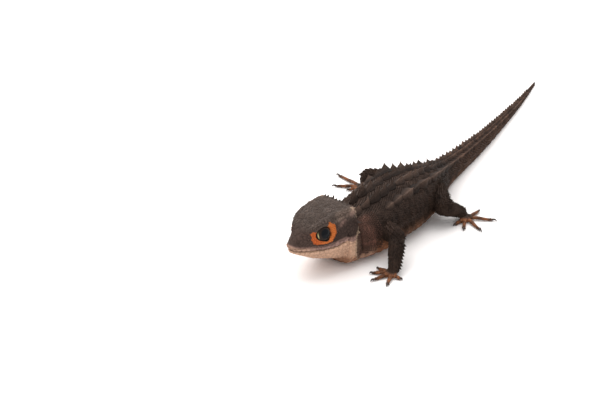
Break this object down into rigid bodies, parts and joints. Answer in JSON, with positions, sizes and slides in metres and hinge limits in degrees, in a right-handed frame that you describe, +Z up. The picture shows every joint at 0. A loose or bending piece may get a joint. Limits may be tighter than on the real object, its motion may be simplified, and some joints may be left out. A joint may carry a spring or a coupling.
{
  "type": "red-eyed crocodile skink model",
  "caption": "Still life-size crocodile skink with a spiny back, a casqued head and orange eye rings, standing with its tail along the floor.",
  "frame": {"origin": "on the floor under the middle of the part's box", "axes": "+Z up, the animal faces -Y and its left side is +X"},
  "size_m": [0.0708, 0.1962, 0.0226],
  "materials": {
    "dark_scales": "matte keeled scales",
    "head_shield": "matte rugose shield",
    "pale_throat": "matte small scales",
    "toe_scales": "satin scales",
    "eye": "wet gloss"
  },
  "bodies": {
    "root": {"head": "head_shield", "lower_jaw": "pale_throat", "eye_left": "eye", "eye_right": "eye", "neck": "dark_scales", "torso": "dark_scales", "tail_base": "dark_scales", "tail_mid": "dark_scales", "tail_tip": "dark_scales", "upper_arm_left": "dark_scales", "upper_arm_right": "dark_scales", "forearm_left": "dark_scales", "forearm_right": "dark_scales", "hand_left": "toe_scales", "hand_right": "toe_scales", "thigh_left": "dark_scales", "thigh_right": "dark_scales", "shank_left": "dark_scales", "shank_right": "dark_scales", "foot_left": "toe_scales", "foot_right": "toe_scales"}
  },
  "joints": []
}
